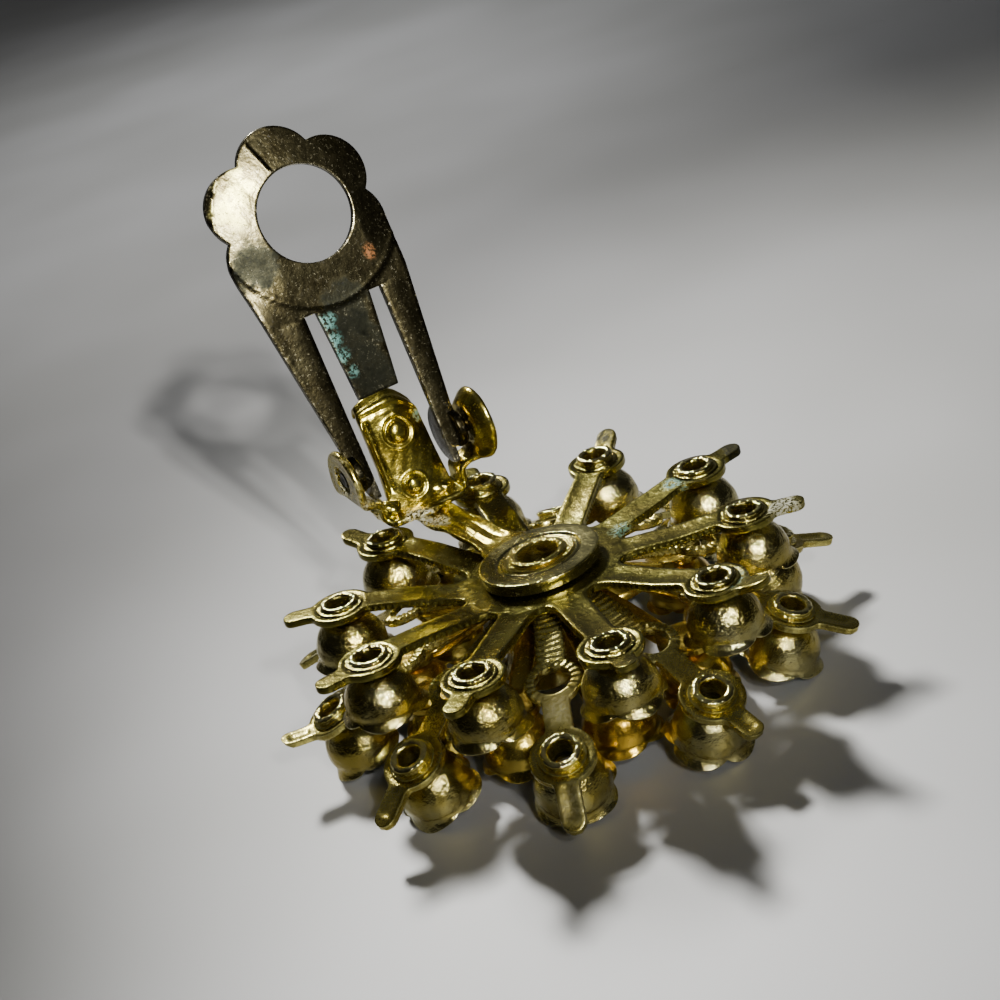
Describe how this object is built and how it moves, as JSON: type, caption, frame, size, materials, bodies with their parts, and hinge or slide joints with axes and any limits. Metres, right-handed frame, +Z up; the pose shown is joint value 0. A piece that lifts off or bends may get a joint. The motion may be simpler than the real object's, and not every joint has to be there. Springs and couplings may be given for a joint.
{
  "type": "clip-on earring",
  "caption": "Clip-on costume earring: stacked star-shaped brass stampings carry riveted bell cups with cut stones, and a hinged scalloped paddle clip is fixed to the back.",
  "frame": {"origin": "on the hub's axis, at the surface the earring lies on, front down", "axes": "+Z up along the hub's axis, from the stones at the front towards the clip at the back; -Y is the side the picture was taken from"},
  "size_m": [0.0306, 0.031, 0.0292],
  "materials": {
    "gilt_brass": "worn gold plate with dark tarnish and a little verdigris",
    "cup_metal": "bright plate, paler than the stars",
    "clip_gold": "bright yellow gold plate",
    "paddle_brass": "rubbed, speckled gold plate",
    "crystal": "clear cut glass"
  },
  "bodies": {
    "cluster": {"star_back": "gilt_brass", "star_middle": "gilt_brass", "star_front": "gilt_brass", "centre_cup": "cup_metal", "centre_stone": "crystal", "clip_bracket": "clip_gold", "cup_01": "cup_metal", "cup_02": "cup_metal", "cup_03": "cup_metal", "cup_04": "cup_metal", "cup_05": "cup_metal", "cup_06": "cup_metal", "cup_07": "cup_metal", "cup_08": "cup_metal", "cup_09": "cup_metal", "cup_10": "cup_metal", "cup_11": "cup_metal", "cup_12": "cup_metal", "cup_13": "cup_metal", "cup_14": "cup_metal", "cup_15": "cup_metal", "cup_16": "cup_metal", "cup_17": "cup_metal", "cup_18": "cup_metal", "cup_19": "cup_metal", "cup_20": "cup_metal", "stone_01": "crystal", "stone_02": "crystal", "stone_03": "crystal", "stone_04": "crystal", "stone_05": "crystal", "stone_06": "crystal", "stone_07": "crystal", "stone_08": "crystal", "stone_09": "crystal", "stone_10": "crystal", "stone_11": "crystal", "stone_12": "crystal", "stone_13": "crystal", "stone_14": "crystal", "stone_15": "crystal", "stone_16": "crystal", "stone_17": "crystal", "stone_18": "crystal", "stone_19": "crystal", "stone_20": "crystal", "stone_21": "crystal", "stone_22": "crystal", "stone_23": "crystal", "stone_24": "crystal", "stone_25": "crystal", "stone_26": "crystal", "stone_27": "crystal", "stone_28": "crystal", "stone_29": "crystal", "stone_30": "crystal"},
    "paddle": {"clip_paddle": "paddle_brass"}
  },
  "joints": [
    {"name": "clip_hinge", "type": "hinge", "parent": "cluster", "child": "paddle", "pos_m": [-0.00532, 0.0094, 0.0113], "axis": [0.9239, 0.3827, 0], "range_deg": [0, 115]}
  ]
}
